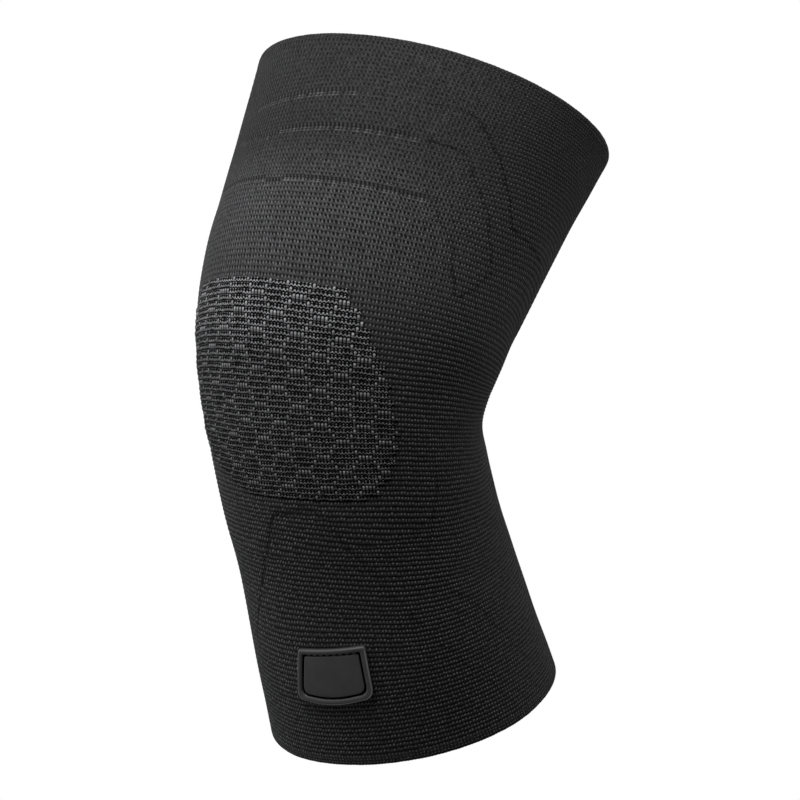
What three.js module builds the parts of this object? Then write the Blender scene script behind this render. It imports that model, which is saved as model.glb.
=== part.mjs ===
// Knitted knee brace
//
// A compression sleeve for the left knee, in the form that a slightly bent leg gives it.
// Lengths are millimetres. The origin is the centre of the knee, +Z runs up the leg, -Y is the front
// with the kneecap, and +X is the outer side of the knee.
//
// A place on the sleeve is given by a station and an angle. Stations run along the centre line, from
// -1 at the calf opening through 0 at the knee to 1 at the thigh opening, so a difference of station
// is a share of the thigh or shin length. Angles are degrees round the tube, from 0 at the front
// through 90 at the outer side to 180 behind the knee, and negative on the inner side.

import * as THREE from 'three';

// Centre line of the sleeve
const THIGH_LENGTH = 126;
const SHIN_LENGTH = 132;
const BEND_RADIUS = 95;
const THIGH_LEAN_DEG = 29.5;
const SHIN_LEAN_DEG = 24.6;
const THIGH_OUTWARD_DEG = 7;
const SHIN_OUTWARD_DEG = 1.9;

// The rims are cut less steeply than the limbs lean, from half way along each limb
const THIGH_RIM_TILT_DEG = -10.8;
const SHIN_RIM_TILT_DEG = 2.3;
const RIM_TILT_START = 0.5;

// Knit walls and the gap between pieces. What is seated on the round of the tube gets the facet
// allowance too, because its flat facets dip towards the tube between their corners.
const KNEE_RADIUS = 55;
const WALL = 2.2;
const PANEL_WALL = 0.8;
const SEAT_GAP = 0.3;
const FACET_ALLOWANCE = 0.12;
const WELT_HEIGHT = 3.2;
const WELT_WALL = 3;

// Roundness of the cross-sections: 2 is an ellipse, more is squarer
const FRONT_SQUARENESS = 2.04;
const BACK_SQUARENESS = 2.09;

// Cross-sections, as shares of the knee radius
const SECTIONS = [
  { at: -1.0, side: 1.053, front: 1.001, back: 1.096 },
  { at: -0.7, side: 0.988, front: 1.003, back: 1.008 },
  { at: -0.42, side: 0.939, front: 0.961, back: 0.956 },
  { at: -0.2, side: 0.952, front: 0.958, back: 0.958 },
  { at: -0.02, side: 1.005, front: 1.002, back: 1.01 },
  { at: 0.18, side: 1.088, front: 1.119, back: 1.069 },
  { at: 0.42, side: 1.144, front: 1.219, back: 1.091 },
  { at: 0.7, side: 1.216, front: 1.292, back: 1.145 },
  { at: 1.0, side: 1.316, front: 1.35, back: 1.244 },
];

// Folds behind the knee: depth as a share of the knee radius, width as a share of the limb's
// length, growing from one angle to full depth at another on both sides
const FOLDS = [
  { at: -0.3, depth: 0.014, width: 0.05, from: 115, full: 165 },
  { at: -0.11, depth: 0.055, width: 0.093, from: 65, full: 150 },
  { at: 0.08, depth: 0.018, width: 0.055, from: 115, full: 165 },
];

// Edges of the raised panel over the kneecap, as angles at a few stations
const PANEL_EDGES = [
  { at: -0.205, inner: -16, outer: 34 },
  { at: -0.185, inner: -24, outer: 40 },
  { at: -0.155, inner: -36, outer: 44 },
  { at: -0.115, inner: -50, outer: 48 },
  { at: -0.06, inner: -60, outer: 49.5 },
  { at: 0.0, inner: -64, outer: 46.5 },
  { at: 0.06, inner: -62, outer: 42.5 },
  { at: 0.12, inner: -57, outer: 38 },
  { at: 0.17, inner: -48, outer: 33 },
  { at: 0.21, inner: -38, outer: 28 },
];

// Profile of a welt: height as a share of the welt's height, away from the knee, and distance from
// the middle of the wall as a share of half the welt's wall
const WELT_PROFILE = [
  { height: 0, across: 0.8 },
  { height: 0.2, across: 1 },
  { height: 0.65, across: 1 },
  { height: 0.9, across: 0.7 },
  { height: 1, across: 0 },
  { height: 0.9, across: -0.7 },
  { height: 0.65, across: -1 },
  { height: 0.2, across: -1 },
  { height: 0, across: -0.8 },
];

// Moulded badge low on the shin. Its middle leans outward towards the top, as the knit does there.
const BADGE_STATION = -0.6875;
const BADGE_ANGLE = 3.8;
const BADGE_LEAN_DEG = 9;
const BADGE_TOP_WIDTH = 27.8;
const BADGE_BOTTOM_WIDTH = 32.6;
const BADGE_HEIGHT = 22.7;
const BADGE_BOTTOM_BULGE = 1.2;
const BADGE_TOP_CORNER = 1.2;
const BADGE_BOTTOM_CORNER = 3;
const BADGE_WALL = 1.1;
const BADGE_RIM_WIDTH = 2.2;
const BADGE_RIM_RISE = 0.6;
const BADGE_GROOVE_WIDTH = 0.9;
const BADGE_GROOVE_DEPTH = 0.5;

// Rings of the badge: the rim's crest as shares of its width, and the rings that bend the seat and
// the field round the shin, as shares of the way from the outline to the middle
const RIM_CREST = [0.25, 0.75];
const SEAT_RINGS = [0.66, 0.33];
const FIELD_RING = 0.7;

// Fineness of the meshes
const FACETS_AROUND = 60;
const SLEEVE_ROWS = 28;
const CREASE_CROWDING = 0.45;
const PANEL_ROWS = 19;
const PANEL_COLUMNS = 19;
const BADGE_OUTLINE_POINTS = 52;
const CENTRE_LINE_STEPS = 400;
const NORMAL_STEP = 0.002;
const NORMAL_STEP_DEG = 0.2;

const SEAT_HEIGHT = SEAT_GAP + FACET_ALLOWANCE;
const radians = THREE.MathUtils.degToRad;
const clamp = THREE.MathUtils.clamp;
const limbLength = (station) => (station >= 0 ? THIGH_LENGTH : SHIN_LENGTH);

// Smooth curve through one column of a table, read at a station
function readTable(rows, column, station) {
  const last = rows.length - 1;
  const slope = (from, to) => (rows[to][column] - rows[from][column]) / (rows[to].at - rows[from].at);
  const tangent = (row) => slope(Math.max(row - 1, 0), Math.min(row + 1, last));
  let row = 0;
  while (row < last - 1 && rows[row + 1].at <= station) row += 1;
  const span = rows[row + 1].at - rows[row].at;
  const t = clamp((station - rows[row].at) / span, 0, 1);
  const start = rows[row][column] * (1 + 2 * t) * (1 - t) ** 2 + tangent(row) * span * t * (1 - t) ** 2;
  const end = rows[row + 1][column] * t * t * (3 - 2 * t) + tangent(row + 1) * span * t * t * (t - 1);
  return start + end;
}

// How far the upward direction leans back and outward at a station, in radians. Both limbs run back
// and outward away from the knee, so below it the upward direction leans the other way.
function leanAt(station) {
  const thighLean = radians(THIGH_LEAN_DEG);
  const shinLean = radians(SHIN_LEAN_DEG);
  const bend = (station * limbLength(station)) / BEND_RADIUS;
  const back = clamp(bend, -shinLean, thighLean);
  const share = back >= 0 ? back / thighLean : back / shinLean;
  const outward = share * radians(back >= 0 ? THIGH_OUTWARD_DEG : SHIN_OUTWARD_DEG);
  return { back, outward };
}

// Points on the centre line from the knee out to one opening
function traceLimb(sign) {
  const points = [new THREE.Vector3()];
  for (let step = 0; step < CENTRE_LINE_STEPS; step += 1) {
    const station = (sign * (step + 0.5)) / CENTRE_LINE_STEPS;
    const { back, outward } = leanAt(station);
    const direction = new THREE.Vector3(
      Math.sin(outward),
      Math.sin(back) * Math.cos(outward),
      Math.cos(back) * Math.cos(outward),
    );
    const length = (sign * limbLength(station)) / CENTRE_LINE_STEPS;
    points.push(points[step].clone().addScaledVector(direction, length));
  }
  return points;
}

const THIGH_LINE = traceLimb(1);
const SHIN_LINE = traceLimb(-1);

function centreAt(station) {
  const line = station >= 0 ? THIGH_LINE : SHIN_LINE;
  const place = Math.min(Math.abs(station), 1) * CENTRE_LINE_STEPS;
  const step = Math.min(Math.floor(place), CENTRE_LINE_STEPS - 1);
  return line[step].clone().lerp(line[step + 1], place - step);
}

// Sideways and backward directions of the cross-section at a station
function sectionAxes(station) {
  const { back, outward } = leanAt(station);
  const beyond = Math.max(Math.abs(station) - RIM_TILT_START, 0) / (1 - RIM_TILT_START);
  const turn = back + beyond * radians(station >= 0 ? THIGH_RIM_TILT_DEG : SHIN_RIM_TILT_DEG);
  const side = new THREE.Vector3(
    Math.cos(outward),
    -Math.sin(turn) * Math.sin(outward),
    -Math.cos(turn) * Math.sin(outward),
  );
  const rear = new THREE.Vector3(0, Math.cos(turn), -Math.sin(turn));
  return { side, rear };
}

function foldDepth(station, angle) {
  const fromFront = Math.abs(THREE.MathUtils.euclideanModulo(angle + 180, 360) - 180);
  return FOLDS.reduce((sum, fold) => {
    const across = Math.exp(-(((station - fold.at) / fold.width) ** 2));
    return sum + fold.depth * across * THREE.MathUtils.smoothstep(fromFront, fold.from, fold.full);
  }, 0);
}

function radiusAt(station, angle) {
  const sine = Math.abs(Math.sin(radians(angle)));
  const cosine = Math.cos(radians(angle));
  const squareness = cosine > 0 ? FRONT_SQUARENESS : BACK_SQUARENESS;
  const across = sine / readTable(SECTIONS, 'side', station);
  const along = Math.abs(cosine) / readTable(SECTIONS, cosine > 0 ? 'front' : 'back', station);
  const share = (across ** squareness + along ** squareness) ** (-1 / squareness);
  return KNEE_RADIUS * share * (1 - foldDepth(station, angle));
}

// Point on the bare outside of the tube
function tubePoint(station, angle) {
  const { side, rear } = sectionAxes(station);
  const radius = radiusAt(station, angle);
  return centreAt(station)
    .addScaledVector(side, radius * Math.sin(radians(angle)))
    .addScaledVector(rear, -radius * Math.cos(radians(angle)));
}

// Point that stands proud of the outside, or within it where proud is negative
function surfacePoint(station, angle, proud) {
  const above = tubePoint(Math.min(station + NORMAL_STEP, 1), angle);
  const below = tubePoint(Math.max(station - NORMAL_STEP, -1), angle);
  const ahead = tubePoint(station, angle + NORMAL_STEP_DEG);
  const behind = tubePoint(station, angle - NORMAL_STEP_DEG);
  const normal = ahead.sub(behind).cross(above.sub(below)).normalize();
  return tubePoint(station, angle).addScaledVector(normal, proud);
}

function meshFrom(name, points, faces, material) {
  const geometry = new THREE.BufferGeometry().setFromPoints(points);
  geometry.setIndex(faces.flat());
  geometry.computeVertexNormals();
  const mesh = new THREE.Mesh(geometry, material);
  mesh.name = name;
  return mesh;
}

// Two triangles between neighbouring rows, a and b on one row, d and c on the next, split along
// the shorter diagonal
function quad(points, a, b, c, d) {
  const straight = points[a].distanceTo(points[c]) <= points[b].distanceTo(points[d]);
  return straight ? [[a, b, c], [a, c, d]] : [[a, b, d], [b, c, d]];
}

// Closed profile of stations and heights, carried all the way round the leg
function ringPiece(name, profile, material) {
  const points = [];
  const corners = [];
  const size = profile.length;
  for (let facet = 0; facet < FACETS_AROUND; facet += 1) {
    const angle = (facet * 360) / FACETS_AROUND;
    const next = (facet + 1) % FACETS_AROUND;
    profile.forEach(({ at, proud }, spot) => {
      const after = (spot + 1) % size;
      points.push(surfacePoint(at, angle, proud));
      corners.push([facet * size + spot, next * size + spot, next * size + after, facet * size + after]);
    });
  }
  const faces = corners.flatMap((four) => quad(points, ...four));
  return meshFrom(name, points, faces, material);
}

// Rings of points stacked from a first middle point to a last one, closed at both
function stackedPiece(name, first, rings, last, material) {
  const points = [first, ...rings.flat(), last];
  const size = rings[0].length;
  const faces = [];
  for (let spot = 0; spot < size; spot += 1) {
    const after = (spot + 1) % size;
    const top = 1 + (rings.length - 1) * size;
    faces.push([0, 1 + after, 1 + spot]);
    faces.push([top + spot, top + after, points.length - 1]);
    for (let ring = 0; ring < rings.length - 1; ring += 1) {
      const low = 1 + ring * size;
      const high = low + size;
      faces.push(...quad(points, low + spot, low + after, high + after, high + spot));
    }
  }
  return meshFrom(name, points, faces, material);
}

// Station of one end of the sleeve's tube, short of the welt by the gap
const sleeveEnd = (sign) => sign * (1 - (WELT_HEIGHT + SEAT_GAP) / limbLength(sign));

// Tube rows, crowded towards the crease behind the knee
function sleeveStations() {
  const low = sleeveEnd(-1);
  const high = sleeveEnd(1);
  return Array.from({ length: SLEEVE_ROWS + 1 }, (_, row) => {
    const even = (2 * row) / SLEEVE_ROWS - 1;
    const crowded = even - (CREASE_CROWDING * Math.sin(Math.PI * even)) / Math.PI;
    return THREE.MathUtils.mapLinear(crowded, -1, 1, low, high);
  });
}

function makeSleeveBody() {
  const stations = sleeveStations();
  const outside = stations.map((at) => ({ at, proud: 0 }));
  const inside = stations.map((at) => ({ at, proud: -WALL })).reverse();
  const knit = new THREE.MeshStandardMaterial({ color: 0x2c2c2e, roughness: 0.93, metalness: 0 });
  return ringPiece('sleeve_body', [...outside, ...inside], knit);
}

// Turned edge round one opening, rounded where it faces away from the knee
function makeWelt(name, sign) {
  const share = WELT_HEIGHT / limbLength(sign);
  const profile = WELT_PROFILE.map(({ height, across }) => ({
    at: sign * (1 - share * (1 - height)),
    proud: (WELT_WALL * across - WALL) / 2,
  }));
  const knit = new THREE.MeshStandardMaterial({ color: 0x262628, roughness: 0.95, metalness: 0 });
  return ringPiece(name, sign > 0 ? profile : profile.reverse(), knit);
}

// Thin patterned shell over the kneecap, seated on the tube
function makeKneePanel() {
  const bottom = PANEL_EDGES[0].at;
  const top = PANEL_EDGES[PANEL_EDGES.length - 1].at;
  const spot = (across, up, proud) => {
    const at = THREE.MathUtils.lerp(bottom, top, up);
    const inner = readTable(PANEL_EDGES, 'inner', at);
    const outer = readTable(PANEL_EDGES, 'outer', at);
    return surfacePoint(at, THREE.MathUtils.lerp(inner, outer, across), proud);
  };
  const width = PANEL_COLUMNS + 1;
  const layer = width * (PANEL_ROWS + 1);
  const points = [];
  for (const proud of [SEAT_HEIGHT, SEAT_HEIGHT + PANEL_WALL]) {
    for (let row = 0; row <= PANEL_ROWS; row += 1) {
      for (let column = 0; column <= PANEL_COLUMNS; column += 1) {
        points.push(spot(column / PANEL_COLUMNS, row / PANEL_ROWS, proud));
      }
    }
  }
  const faces = [];
  const index = (row, column) => row * width + column;
  const wall = (from, to) => faces.push(...quad(points, from, to, to + layer, from + layer));
  for (let row = 0; row < PANEL_ROWS; row += 1) {
    for (let column = 0; column < PANEL_COLUMNS; column += 1) {
      const near = index(row, column);
      const far = index(row + 1, column);
      const corners = [near, near + 1, far + 1, far];
      faces.push(...quad(points, ...corners.toReversed()));
      faces.push(...quad(points, ...corners.map((corner) => corner + layer)));
    }
    wall(index(row + 1, 0), index(row, 0));
    wall(index(row, PANEL_COLUMNS), index(row + 1, PANEL_COLUMNS));
  }
  for (let column = 0; column < PANEL_COLUMNS; column += 1) {
    wall(index(0, column), index(0, column + 1));
    wall(index(PANEL_ROWS, column + 1), index(PANEL_ROWS, column));
  }
  const knit = new THREE.MeshStandardMaterial({ color: 0x343436, roughness: 0.9, metalness: 0 });
  return meshFrom('knee_panel', points, faces, knit);
}

// Outline of the badge laid flat: x across, y up, anticlockwise
function badgeOutline() {
  const half = BADGE_HEIGHT / 2;
  const top = BADGE_TOP_WIDTH / 2;
  const bottom = BADGE_BOTTOM_WIDTH / 2;
  const slope = (bottom - top) / BADGE_HEIGHT;
  const low = BADGE_BOTTOM_CORNER;
  const high = BADGE_TOP_CORNER;
  const outline = new THREE.Shape();
  outline.moveTo(-bottom + low, -half);
  outline.quadraticCurveTo(0, -half - 2 * BADGE_BOTTOM_BULGE, bottom - low, -half);
  outline.quadraticCurveTo(bottom, -half, bottom - slope * low, -half + low);
  outline.lineTo(top + slope * high, half - high);
  outline.quadraticCurveTo(top, half, top - high, half);
  outline.lineTo(-top + high, half);
  outline.quadraticCurveTo(-top, half, -top - slope * high, half - high);
  outline.lineTo(-bottom + slope * low, -half + low);
  outline.quadraticCurveTo(-bottom, -half, -bottom + low, -half);
  return outline.getSpacedPoints(BADGE_OUTLINE_POINTS).slice(0, -1);
}

// Moulded label with a rounded rim, a groove inside it and a plain field
function makeBadge() {
  const outline = badgeOutline();
  const halfWidth = (BADGE_TOP_WIDTH + BADGE_BOTTOM_WIDTH) / 4;
  const halfHeight = BADGE_HEIGHT / 2;
  const seatRadius = radiusAt(BADGE_STATION, BADGE_ANGLE);
  const lean = Math.tan(radians(BADGE_LEAN_DEG));
  const place = (x, y, height) => {
    const station = BADGE_STATION + y / limbLength(BADGE_STATION);
    const angle = BADGE_ANGLE + THREE.MathUtils.radToDeg((x + lean * y) / seatRadius);
    return surfacePoint(station, angle, SEAT_HEIGHT + height);
  };
  const ring = (inset, height) => outline.map(({ x, y }) => {
    const across = x * (1 - inset / halfWidth);
    const up = y * (1 - inset / halfHeight);
    return place(across, up, height);
  });
  const crest = BADGE_WALL + BADGE_RIM_RISE;
  const grooveEnd = BADGE_RIM_WIDTH + BADGE_GROOVE_WIDTH;
  const rings = [
    ...SEAT_RINGS.map((share) => ring(halfHeight * share, 0)),
    ring(0, 0),
    ring(0, BADGE_WALL),
    ...RIM_CREST.map((share) => ring(BADGE_RIM_WIDTH * share, crest)),
    ring(BADGE_RIM_WIDTH, BADGE_WALL - BADGE_GROOVE_DEPTH),
    ring(grooveEnd, BADGE_WALL - BADGE_GROOVE_DEPTH),
    ring(grooveEnd + BADGE_GROOVE_DEPTH / 2, BADGE_WALL),
    ring(halfHeight * FIELD_RING, BADGE_WALL),
  ];
  const rubber = new THREE.MeshStandardMaterial({ color: 0x3a3a3c, roughness: 0.55, metalness: 0 });
  return stackedPiece('badge', place(0, 0, 0), rings, place(0, 0, BADGE_WALL), rubber);
}

const kneeBrace = new THREE.Group();
kneeBrace.add(
  makeSleeveBody(),
  makeWelt('top_welt', 1),
  makeWelt('bottom_welt', -1),
  makeKneePanel(),
  makeBadge(),
);

export default kneeBrace;
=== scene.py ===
# Looks of the knitted knee brace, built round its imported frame.
#
# A place on the sleeve is given by a station along the leg and an angle round it, as in the part's
# source. Lengths are worked out in millimetres and turned into metres where a mesh is made.

import math

import bpy
import numpy as np
from mathutils import Matrix, Vector


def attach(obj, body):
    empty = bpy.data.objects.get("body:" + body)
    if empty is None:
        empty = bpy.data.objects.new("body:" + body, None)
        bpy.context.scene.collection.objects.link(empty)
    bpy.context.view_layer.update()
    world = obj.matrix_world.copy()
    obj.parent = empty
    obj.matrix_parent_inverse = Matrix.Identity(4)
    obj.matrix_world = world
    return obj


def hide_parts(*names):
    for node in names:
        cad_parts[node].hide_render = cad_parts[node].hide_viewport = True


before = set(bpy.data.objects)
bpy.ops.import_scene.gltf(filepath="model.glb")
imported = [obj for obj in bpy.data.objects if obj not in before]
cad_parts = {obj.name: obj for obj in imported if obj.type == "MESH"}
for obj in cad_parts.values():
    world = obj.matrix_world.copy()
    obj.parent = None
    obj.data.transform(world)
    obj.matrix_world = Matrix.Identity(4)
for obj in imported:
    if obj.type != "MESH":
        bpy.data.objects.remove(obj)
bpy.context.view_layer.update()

MM = 0.001

# Centre line and cross-sections, as in the part's source
THIGH_LENGTH = 126.0
SHIN_LENGTH = 132.0
BEND_RADIUS = 95.0
THIGH_LEAN_DEG = 29.5
SHIN_LEAN_DEG = 24.6
THIGH_OUTWARD_DEG = 7.0
SHIN_OUTWARD_DEG = 1.9
THIGH_RIM_TILT_DEG = -10.8
SHIN_RIM_TILT_DEG = 2.3
RIM_TILT_START = 0.5
KNEE_RADIUS = 55.0
WALL = 2.2
SEAT_GAP = 0.3
WELT_HEIGHT = 3.2
FRONT_SQUARENESS = 2.04
BACK_SQUARENESS = 2.09
CENTRE_LINE_STEPS = 400
NORMAL_STEP = 0.002
NORMAL_STEP_DEG = 0.2

SECTIONS = {
    "at": [-1.0, -0.7, -0.42, -0.2, -0.02, 0.18, 0.42, 0.7, 1.0],
    "side": [1.053, 0.988, 0.939, 0.952, 1.005, 1.088, 1.144, 1.216, 1.316],
    "front": [1.001, 1.003, 0.961, 0.958, 1.002, 1.119, 1.219, 1.292, 1.35],
    "back": [1.096, 1.008, 0.956, 0.958, 1.01, 1.069, 1.091, 1.145, 1.244],
}
FOLDS = [
    {"at": -0.3, "depth": 0.014, "width": 0.05, "from": 115, "full": 165},
    {"at": -0.11, "depth": 0.055, "width": 0.093, "from": 65, "full": 150},
    {"at": 0.08, "depth": 0.018, "width": 0.055, "from": 115, "full": 165},
]

# Courses of the knit, counted from the knee up the thigh and down the shin: the station that a
# course reaches at some angles round the leg
COURSE_ANGLES = [-75.0, -45.0, -15.0, 15.0, 45.0, 75.0, 105.0, 180.0]
COURSES = {
    "at": [
        -75, -59.6, -49.6, -39.6, -29.6, -19.6, -9.6, 0.4,
        10.4, 20.4, 30.4, 40.4, 50.4, 60.4, 72,
    ],
    "inner": [
        -1, -0.785, -0.63, -0.47, -0.33, -0.212, -0.105, 0.005,
        0.122, 0.24, 0.352, 0.468, 0.61, 0.77, 1,
    ],
    "inner_front": [
        -1, -0.77, -0.605, -0.436, -0.293, -0.191, -0.092, 0.01,
        0.122, 0.229, 0.333, 0.439, 0.57, 0.732, 1,
    ],
    "front": [
        -1, -0.774, -0.607, -0.434, -0.289, -0.196, -0.101, 0,
        0.114, 0.222, 0.324, 0.421, 0.571, 0.754, 1,
    ],
    "mid_front": [
        -1, -0.775, -0.614, -0.461, -0.314, -0.21, -0.112, -0.011,
        0.101, 0.215, 0.326, 0.433, 0.606, 0.797, 1,
    ],
    "outer_front": [
        -1, -0.791, -0.657, -0.517, -0.367, -0.237, -0.128, -0.025,
        0.095, 0.222, 0.348, 0.484, 0.658, 0.825, 1,
    ],
    "outer": [
        -1, -0.806, -0.677, -0.554, -0.434, -0.291, -0.161, -0.043,
        0.093, 0.243, 0.407, 0.583, 0.742, 0.871, 1,
    ],
    "outer_rear": [
        -1, -0.82, -0.695, -0.572, -0.461, -0.338, -0.197, -0.065,
        0.078, 0.288, 0.493, 0.653, 0.79, 0.892, 1,
    ],
    "rear": [
        -1, -0.823, -0.7, -0.58, -0.47, -0.35, -0.208, -0.07,
        0.075, 0.295, 0.5, 0.66, 0.795, 0.895, 1,
    ],
}
COURSE_COLUMNS = list(COURSES)[1:]
LOWEST_COURSE = COURSES["at"][0]
HIGHEST_COURSE = COURSES["at"][-1]
WALES = 262
# Height of a rib at each fifth of a course, from the groove to the crest
RIB_SHAPE = [0.55, 0.85, 1.0, 0.85, 0.0]
RIB_ROWS = len(RIB_SHAPE)
RIB_VALLEY = 0.3
RIB_RIDGE = 0.1
USUAL_PITCH = 2.0
PITCH_RANGE = (0.3, 1.1)
# The knit grows close from one course to another, less on the outer side, and its ribs flatten
CLOSE_COURSES = (3, 27)
OUTER_ANGLES = (42, 72)
OUTER_OPENING = 0.4
CLOSE_FLATTENING = 0.75
# Painted shade in the fold at the back of the knee: its middle course, its width in courses and the angles
# over which it comes in
CREASE_COURSE = -3.0
CREASE_WIDTH = 6.0
CREASE_ANGLES = (68, 108)
SLEEVE_COLUMNS = 120
LINING_ROWS = 40
SHIFTED_COURSES = 6
COURSE_STEPS = 3001
FAR = 1e6


def curve_between(low, high, low_slope, high_slope, span, t):
    """Smooth curve between two values, with a slope at each and t from 0 to 1 between them."""
    start = low * (1 + 2 * t) * (1 - t) ** 2 + low_slope * span * t * (1 - t) ** 2
    end = high * t * t * (3 - 2 * t) + high_slope * span * t * t * (t - 1)
    return start + end


def read_table(table, column, station):
    """Smooth curve through one column of a table, as in the part's source."""
    at = np.asarray(table["at"], float)
    values = np.asarray(table[column], float)
    last = len(at) - 1
    low = np.maximum(np.arange(last + 1) - 1, 0)
    high = np.minimum(np.arange(last + 1) + 1, last)
    tangent = (values[high] - values[low]) / (at[high] - at[low])
    row = np.clip(np.searchsorted(at, station, side="right") - 1, 0, last - 1)
    span = at[row + 1] - at[row]
    t = np.clip((station - at[row]) / span, 0, 1)
    return curve_between(values[row], values[row + 1], tangent[row], tangent[row + 1], span, t)


def smoothstep(value, low, high):
    t = np.clip((value - low) / (high - low), 0, 1)
    return t * t * (3 - 2 * t)


def wrap_degrees(angle):
    return (angle + 180.0) % 360.0 - 180.0


def wale_at(angle):
    return (angle + 180) * WALES / 360


def angle_at(wale):
    return wale * 360 / WALES - 180


def limb_length(station):
    return np.where(station >= 0, THIGH_LENGTH, SHIN_LENGTH)


def lean_at(station):
    thigh = math.radians(THIGH_LEAN_DEG)
    shin = math.radians(SHIN_LEAN_DEG)
    back = np.clip(station * limb_length(station) / BEND_RADIUS, -shin, thigh)
    share = np.where(back >= 0, back / thigh, back / shin)
    outward = share * np.radians(np.where(back >= 0, THIGH_OUTWARD_DEG, SHIN_OUTWARD_DEG))
    return back, outward


def trace_centre_line():
    station = (np.arange(-CENTRE_LINE_STEPS, CENTRE_LINE_STEPS) + 0.5) / CENTRE_LINE_STEPS
    back, outward = lean_at(station)
    direction = np.stack(
        [np.sin(outward), np.sin(back) * np.cos(outward), np.cos(back) * np.cos(outward)], 1
    )
    steps = direction * (limb_length(station) / CENTRE_LINE_STEPS)[:, None]
    line = np.vstack([np.zeros((1, 3)), np.cumsum(steps, 0)])
    return line - line[CENTRE_LINE_STEPS]


CENTRE_LINE = trace_centre_line()


def centre_at(station):
    stations = np.arange(-CENTRE_LINE_STEPS, CENTRE_LINE_STEPS + 1) / CENTRE_LINE_STEPS
    return np.stack([np.interp(station, stations, CENTRE_LINE[:, axis]) for axis in range(3)], -1)


def radius_at(station, angle):
    sine = np.abs(np.sin(np.radians(angle)))
    cosine = np.cos(np.radians(angle))
    power = np.where(cosine > 0, FRONT_SQUARENESS, BACK_SQUARENESS)
    front = read_table(SECTIONS, "front", station)
    depth = np.where(cosine > 0, front, read_table(SECTIONS, "back", station))
    across = sine / read_table(SECTIONS, "side", station)
    share = (across**power + (np.abs(cosine) / depth) ** power) ** (-1 / power)
    from_front = np.abs(wrap_degrees(angle))
    folds = 0
    for fold in FOLDS:
        near = np.exp(-(((station - fold["at"]) / fold["width"]) ** 2))
        folds = folds + fold["depth"] * near * smoothstep(from_front, fold["from"], fold["full"])
    return KNEE_RADIUS * share * (1 - folds)


def tube_point(station, angle):
    back, outward = lean_at(station)
    beyond = np.maximum(np.abs(station) - RIM_TILT_START, 0) / (1 - RIM_TILT_START)
    tilt = np.where(station >= 0, THIGH_RIM_TILT_DEG, SHIN_RIM_TILT_DEG)
    turn = back + beyond * np.radians(tilt)
    side = np.stack(
        [np.cos(outward), -np.sin(turn) * np.sin(outward), -np.cos(turn) * np.sin(outward)], -1
    )
    rear = np.stack([np.zeros_like(turn), np.cos(turn), -np.sin(turn)], -1)
    radius = radius_at(station, angle)
    sideways = (radius * np.sin(np.radians(angle)))[..., None] * side
    forward = (radius * np.cos(np.radians(angle)))[..., None] * rear
    return centre_at(station) + sideways - forward


def surface_point(station, angle, proud):
    """Point that stands proud of the outside of the tube, or within it where proud is negative."""
    station, angle, proud = np.broadcast_arrays(station, angle, proud)
    above = tube_point(np.minimum(station + NORMAL_STEP, 1), angle)
    below = tube_point(np.maximum(station - NORMAL_STEP, -1), angle)
    ahead = tube_point(station, angle + NORMAL_STEP_DEG)
    behind = tube_point(station, angle - NORMAL_STEP_DEG)
    normal = np.cross(ahead - behind, above - below)
    normal /= np.linalg.norm(normal, axis=-1, keepdims=True)
    return tube_point(station, angle) + normal * proud[..., None]


def course_station(course, angle):
    """Station that a course reaches at an angle, on a smooth closed curve through the table. The
    hidden part of the inner side mirrors the outer side."""
    course, angle = np.broadcast_arrays(np.asarray(course, float), np.asarray(angle, float))
    turned = wrap_degrees(angle)
    mirrored = {-135.0: "outer_rear", -105.0: "outer"}
    knots = np.array([-180.0, *mirrored, *COURSE_ANGLES])
    names = ["rear", *mirrored.values(), *COURSE_COLUMNS]
    values = np.stack([read_table(COURSES, name, course) for name in names], -1)
    slopes = np.zeros_like(values)
    slopes[..., 1:-1] = (values[..., 2:] - values[..., :-2]) / (knots[2:] - knots[:-2])
    row = np.clip(np.searchsorted(knots, turned, side="right") - 1, 0, len(knots) - 2)
    span = knots[row + 1] - knots[row]
    t = (turned - knots[row]) / span

    ends = [
        np.take_along_axis(table, place[..., None], -1)[..., 0]
        for table in (values, slopes)
        for place in (row, row + 1)
    ]
    return curve_between(*ends, span, t)


def course_pitch(course, angle):
    """Distance on the surface between neighbouring courses, in millimetres."""
    low = course_station(np.maximum(course - 0.5, LOWEST_COURSE), angle)
    high = course_station(np.minimum(course + 0.5, HIGHEST_COURSE), angle)
    return np.linalg.norm(tube_point(high, angle) - tube_point(low, angle), axis=-1)


def make_mesh(name, points, faces, uvs, attributes):
    """Mesh object from points in millimetres. uvs has one row for each face corner."""
    mesh = bpy.data.meshes.new(name)
    points = np.asarray(points, float).reshape(-1, 3) * MM
    faces = np.asarray(faces)
    mesh.vertices.add(len(points))
    mesh.vertices.foreach_set("co", points.astype(np.float32).ravel())
    mesh.loops.add(faces.size)
    mesh.loops.foreach_set("vertex_index", faces.astype(np.int32).ravel())
    mesh.polygons.add(len(faces))
    mesh.polygons.foreach_set("loop_start", np.arange(len(faces), dtype=np.int32) * faces.shape[1])
    layer = mesh.uv_layers.new(name="Knit")
    layer.data.foreach_set("uv", np.asarray(uvs, np.float32).ravel())
    for key, values in attributes.items():
        values = np.asarray(values, np.float32)
        kind = "FLOAT_VECTOR" if values.ndim == 2 else "FLOAT"
        field = "vector" if values.ndim == 2 else "value"
        mesh.attributes.new(key, kind, "POINT").data.foreach_set(field, values.ravel())
    mesh.update(calc_edges=True)
    mesh.validate()
    return link_piece(name, mesh)


def link_piece(name, mesh):
    mesh.shade_smooth()
    piece = bpy.data.objects.new(name, mesh)
    bpy.context.collection.objects.link(piece)
    return piece


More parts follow.
